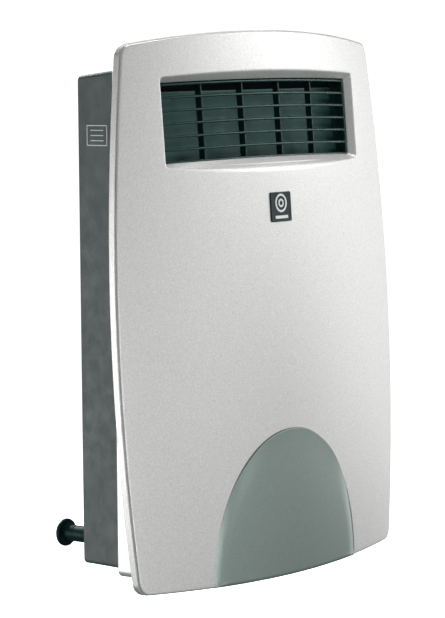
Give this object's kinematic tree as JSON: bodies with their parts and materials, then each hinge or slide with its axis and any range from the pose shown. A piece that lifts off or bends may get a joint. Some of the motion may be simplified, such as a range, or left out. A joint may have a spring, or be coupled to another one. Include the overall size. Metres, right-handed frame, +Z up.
{
  "type": "wall fan heater",
  "caption": "Wall-mounted electric fan heater: bowed cover with an air grille at the top front, box housing that stands off the wall, cross-flow fan, heater and side controls.",
  "frame": {"origin": "middle of the wall bracket's back face, on the wall", "axes": "+Z up, +Y into the wall, so the front faces -Y, and +X to the right for someone facing the unit"},
  "size_m": [0.374, 0.1399, 0.46],
  "materials": {
    "silver_plastic": "satin metallic silver, fine grain",
    "inlay_plastic": "satin metallic grey-green",
    "dark_plastic": "matte moulded dark grey-green",
    "badge_finish": "matte dark plate",
    "grille_plastic": "matte dark green-grey",
    "duct_plastic": "matte dark teal",
    "black_rubber": "black rubber",
    "zinc_steel": "zinc-plated sheet",
    "lamination_steel": "stacked laminations",
    "aluminium": "plain aluminium",
    "copper_winding": "enamelled copper winding",
    "bronze": "sintered bronze and brass",
    "white_plastic": "white moulded insulator",
    "black_plastic": "black moulded plastic",
    "wire_sheath": "black wire insulation"
  },
  "bodies": {
    "casing": {"front_cover": "silver_plastic", "lower_inlay": "inlay_plastic", "badge_plate": "badge_finish", "outlet_grille": "grille_plastic", "rear_housing": "dark_plastic", "intake_grille": "dark_plastic", "wall_bracket": "zinc_steel", "wall_spacer_left": "black_rubber", "wall_spacer_right": "black_rubber", "outlet_duct": "duct_plastic", "heater_frame": "zinc_steel", "thermal_cutout": "white_plastic", "fan_scroll": "zinc_steel", "vortex_tongue": "zinc_steel", "scroll_side_left": "zinc_steel", "scroll_side_right": "zinc_steel", "far_bush": "bronze", "far_bearing_mount": "black_rubber", "stator": "lamination_steel", "motor_coil": "copper_winding", "motor_bracket_inner": "zinc_steel", "motor_bracket_outer": "zinc_steel", "motor_bearing_inner": "bronze", "motor_bearing_outer": "bronze", "motor_pillar_front": "zinc_steel", "motor_pillar_rear": "zinc_steel", "motor_screw_front": "zinc_steel", "motor_screw_rear": "zinc_steel", "thermostat_body": "white_plastic", "rocker_switch_body": "black_plastic", "terminal_block": "white_plastic", "cord_clamp": "white_plastic", "cable_grommet": "black_rubber", "switch_lead": "wire_sheath", "thermostat_lead": "wire_sheath", "heater_lead": "wire_sheath", "motor_lead": "wire_sheath", "heater_element_1": "aluminium", "terminal_screw_1": "bronze", "heater_element_2": "aluminium", "terminal_screw_2": "bronze", "heater_element_3": "aluminium", "terminal_screw_3": "bronze", "scroll_screw_1": "zinc_steel", "scroll_screw_2": "zinc_steel", "scroll_screw_3": "zinc_steel", "scroll_screw_4": "zinc_steel", "duct_screw_left": "zinc_steel", "clamp_screw_left": "zinc_steel", "cover_screw_left": "zinc_steel", "duct_screw_right": "zinc_steel", "clamp_screw_right": "zinc_steel", "cover_screw_right": "zinc_steel"},
    "fan_rotor": {"impeller": "aluminium", "stub_shaft": "zinc_steel", "motor_shaft": "zinc_steel", "rotor": "aluminium"},
    "thermostat_dial": {"thermostat_knob": "dark_plastic", "thermostat_spindle": "zinc_steel"},
    "switch_rocker": {"rocker": "black_plastic"}
  },
  "joints": [
    {"name": "fan_spin", "type": "hinge", "parent": "casing", "child": "fan_rotor", "pos_m": [0, -0.076, -0.13], "axis": [1, 0, 0], "continuous": true},
    {"name": "thermostat_turn", "type": "hinge", "parent": "casing", "child": "thermostat_dial", "pos_m": [0.16, -0.066, -0.27], "axis": [1, 0, 0], "range_deg": [-135, 135]},
    {"name": "switch_press", "type": "hinge", "parent": "casing", "child": "switch_rocker", "pos_m": [0.157, -0.066, -0.22], "axis": [0, -1, 0], "range_deg": [0, 16]}
  ]
}
